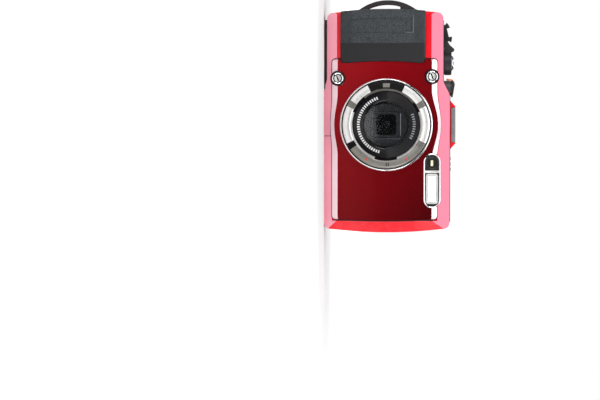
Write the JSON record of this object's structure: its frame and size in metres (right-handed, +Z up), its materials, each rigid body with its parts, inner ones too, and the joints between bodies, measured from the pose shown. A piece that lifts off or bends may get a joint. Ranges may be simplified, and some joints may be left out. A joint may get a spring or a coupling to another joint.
{
  "type": "rugged compact action camera",
  "caption": "Rugged compact action camera with a folded zoom lens behind a twist-off ring, glove-sized controls, sealed doors, tripod socket and strap lug",
  "frame": {"origin": "centre of the mouth of the tripod socket, on the plane of the camera's base", "axes": "+Z up, +X along the body away from the hand grip, -Y the way the lens looks, +Y towards the screen"},
  "size_m": [0.117, 0.0312, 0.0659],
  "materials": {
    "body_red": "satin metallic red lacquer",
    "plate_red": "deep gloss red lacquer",
    "grip_rubber": "textured elastomer",
    "rear_black": "fine spark texture",
    "top_grey": "fine textured dark grey",
    "antenna_grey": "satin",
    "bright_metal": "polished",
    "ring_silver": "satin anodised",
    "lens_black": "matt black",
    "optical_glass": "coated",
    "flash_diffuser": "ribbed clear white",
    "reflector": "bright",
    "steel": "plain",
    "brass": "plain",
    "capacitor_sleeve": "shrink sleeve",
    "control_silver": "turned face",
    "control_black": "satin",
    "movie_key": "satin with a red dot",
    "inner_plastic": "plain",
    "screen_glass": "hard-coated window",
    "display": "dark display",
    "seal_red": "soft seal",
    "latch_grey": "ribbed",
    "lock_yellow": "ribbed",
    "board_green": "solder mask",
    "battery_wrap": "label wrap",
    "card_blue": "plain"
  },
  "bodies": {
    "camera_body": {"front_cover": "body_red", "front_plate": "plate_red", "grip_panel": "grip_rubber", "rear_cover": "rear_black", "top_plate": "top_grey", "base_plate": "rear_black", "gps_hump": "body_red", "antenna_cover": "antenna_grey", "lens_bezel": "bright_metal", "bayonet_seat": "lens_black", "name_ring": "lens_black", "lens_window": "optical_glass", "front_optics": "optical_glass", "lens_housing": "lens_black", "guide_rods": "steel", "zoom_motor": "steel", "image_sensor": "board_green", "front_boss": "bright_metal", "flash_bezel": "bright_metal", "flash_window": "flash_diffuser", "lamp_window": "optical_glass", "flash_unit": "reflector", "flash_capacitor": "capacitor_sleeve", "lcd_window": "screen_glass", "lcd_panel": "display", "connectors": "steel", "battery": "battery_wrap", "chassis": "steel", "memory_card": "card_blue", "main_board": "board_green", "key_board": "board_green", "speaker": "steel", "tripod_socket": "steel", "strap_lug": "control_black", "case_screws": "steel"},
    "release": {"release_button": "bright_metal", "ring_lock": "steel"},
    "lens_ring": {"lens_ring": "ring_silver"},
    "zoom_carriage": {"zoom_group": "lens_black"},
    "lead_screw": {"lead_screw": "brass"},
    "shutter": {"shutter_button": "control_silver"},
    "zoom_lever": {"zoom_lever": "control_black"},
    "power": {"power_button": "control_silver"},
    "log_lever": {"log_lever": "control_black"},
    "mode_dial": {"mode_dial": "control_black"},
    "movie": {"movie_button": "movie_key"},
    "gimbal": {"pad_gimbal": "inner_plastic"},
    "arrow_pad": {"arrow_pad": "control_black"},
    "ok": {"ok_button": "control_black"},
    "menu": {"menu_button": "control_black"},
    "playback": {"playback_button": "control_black"},
    "info": {"info_button": "control_black"},
    "wifi": {"wifi_button": "control_black"},
    "battery_door": {"battery_door": "rear_black", "battery_door_seal": "seal_red"},
    "battery_latch": {"battery_latch": "latch_grey"},
    "battery_lock": {"battery_lock": "lock_yellow"},
    "connector_door": {"connector_door": "rear_black", "connector_seal": "seal_red"},
    "connector_latch": {"connector_latch": "latch_grey"}
  },
  "joints": [
    {"name": "release_press", "type": "slide", "parent": "camera_body", "child": "release", "axis": [0, 1, 0], "range_m": [0, 0.0006], "stiffness_N_per_m": 900, "springref_m": -0.0003},
    {"name": "lens_ring_twist", "type": "hinge", "parent": "camera_body", "child": "lens_ring", "pos_m": [0.00275, -0.013, 0.0312], "axis": [0, -1, 0], "range_deg": [0, 25]},
    {"name": "zoom_travel", "type": "slide", "parent": "camera_body", "child": "zoom_carriage", "axis": [1, 0, 0], "range_m": [-0.002, 0.016]},
    {"name": "lead_screw_turn", "type": "hinge", "parent": "camera_body", "child": "lead_screw", "pos_m": [0.03, 0.001, 0.0256], "axis": [1, 0, 0], "continuous": true},
    {"name": "shutter_press", "type": "slide", "parent": "camera_body", "child": "shutter", "axis": [0, 0, -1], "range_m": [0, 0.0007], "stiffness_N_per_m": 900, "springref_m": -0.0003},
    {"name": "zoom_lever_turn", "type": "hinge", "parent": "camera_body", "child": "zoom_lever", "pos_m": [-0.0282, 0, 0.061], "axis": [0, 0, 1], "range_deg": [-20, 20], "stiffness_Nm_per_rad": 0.02},
    {"name": "power_press", "type": "slide", "parent": "camera_body", "child": "power", "axis": [0, 0, -1], "range_m": [0, 0.00045], "stiffness_N_per_m": 900, "springref_m": -0.0003},
    {"name": "log_lever_turn", "type": "hinge", "parent": "camera_body", "child": "log_lever", "pos_m": [-0.0155, 0.001, 0.063], "axis": [0, 0, 1], "range_deg": [-30, 30]},
    {"name": "mode_dial_turn", "type": "hinge", "parent": "camera_body", "child": "mode_dial", "pos_m": [-0.042, 0.012, 0.0536], "axis": [0, 1, 0], "continuous": true},
    {"name": "movie_press", "type": "slide", "parent": "camera_body", "child": "movie", "axis": [0, -1, 0], "range_m": [0, 0.0005], "stiffness_N_per_m": 900, "springref_m": -0.0003},
    {"name": "pad_tilt_up_down", "type": "hinge", "parent": "camera_body", "child": "gimbal", "pos_m": [-0.0385, 0.0103, 0.0256], "axis": [1, 0, 0], "range_deg": [-2, 2], "stiffness_Nm_per_rad": 0.5},
    {"name": "pad_tilt_left_right", "type": "hinge", "parent": "gimbal", "child": "arrow_pad", "pos_m": [-0.0385, 0.0103, 0.0256], "axis": [0, 0, 1], "range_deg": [-2, 2], "stiffness_Nm_per_rad": 0.5},
    {"name": "ok_press", "type": "slide", "parent": "camera_body", "child": "ok", "axis": [0, -1, 0], "range_m": [0, 0.0005], "stiffness_N_per_m": 900, "springref_m": -0.0003},
    {"name": "menu_press", "type": "slide", "parent": "camera_body", "child": "menu", "axis": [0, -1, 0], "range_m": [0, 0.0005], "stiffness_N_per_m": 900, "springref_m": -0.0003},
    {"name": "playback_press", "type": "slide", "parent": "camera_body", "child": "playback", "axis": [0, -1, 0], "range_m": [0, 0.0005], "stiffness_N_per_m": 900, "springref_m": -0.0003},
    {"name": "info_press", "type": "slide", "parent": "camera_body", "child": "info", "axis": [0, -1, 0], "range_m": [0, 0.0005], "stiffness_N_per_m": 900, "springref_m": -0.0003},
    {"name": "wifi_press", "type": "slide", "parent": "camera_body", "child": "wifi", "axis": [0, -1, 0], "range_m": [0, 0.0005], "stiffness_N_per_m": 900, "springref_m": -0.0003},
    {"name": "battery_door_hinge", "type": "hinge", "parent": "camera_body", "child": "battery_door", "pos_m": [-0.033, 0.0084, 0.001], "axis": [1, 0, 0], "range_deg": [0, 95]},
    {"name": "battery_latch_slide", "type": "slide", "parent": "battery_door", "child": "battery_latch", "axis": [1, 0, 0], "range_m": [0, 0.0035]},
    {"name": "battery_lock_slide", "type": "slide", "parent": "battery_door", "child": "battery_lock", "axis": [1, 0, 0], "range_m": [0, 0.003]},
    {"name": "connector_door_hinge", "type": "hinge", "parent": "camera_body", "child": "connector_door", "pos_m": [0.0554, 0.0026, 0.031], "axis": [0, 0, -1], "range_deg": [0, 90]},
    {"name": "connector_latch_slide", "type": "slide", "parent": "connector_door", "child": "connector_latch", "axis": [0, 0, 1], "range_m": [0, 0.002]}
  ],
  "couplings": [
    {"joint": "lead_screw_turn", "follows": "zoom_travel", "rad_per_m": 3141.6}
  ]
}
